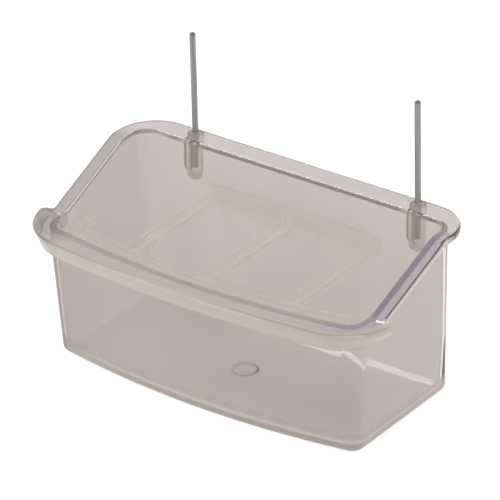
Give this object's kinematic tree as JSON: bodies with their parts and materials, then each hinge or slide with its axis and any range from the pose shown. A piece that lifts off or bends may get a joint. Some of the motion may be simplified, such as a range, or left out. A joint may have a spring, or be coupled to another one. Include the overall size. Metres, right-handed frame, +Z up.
{
  "type": "bird cage seed cup",
  "caption": "Clear moulded seed cup with a bowed front, a rim sloping from a high back to a low lip, wire pins that hook it in a cage, and a lift-out guard grille.",
  "frame": {"origin": "centre of the whole cup in plan, on the surface it stands on", "axes": "+Z up, +Y towards the high back wall that carries the pins, +X to the right seen from the front"},
  "size_m": [0.1366, 0.0724, 0.0952],
  "materials": {
    "clear_cup": "clear smoky moulded plastic, polished",
    "clear_guard": "clear smoky moulded plastic, polished",
    "pin_wire": "drawn wire, dull grey"
  },
  "bodies": {
    "cup": {"cup_body": "clear_cup", "pin_left": "pin_wire", "pin_right": "pin_wire"},
    "guard": {"guard_grille": "clear_guard"}
  },
  "joints": [
    {"name": "guard_lift", "type": "slide", "parent": "cup", "child": "guard", "axis": [0, 0, 1], "range_m": [0, 0.03]}
  ]
}
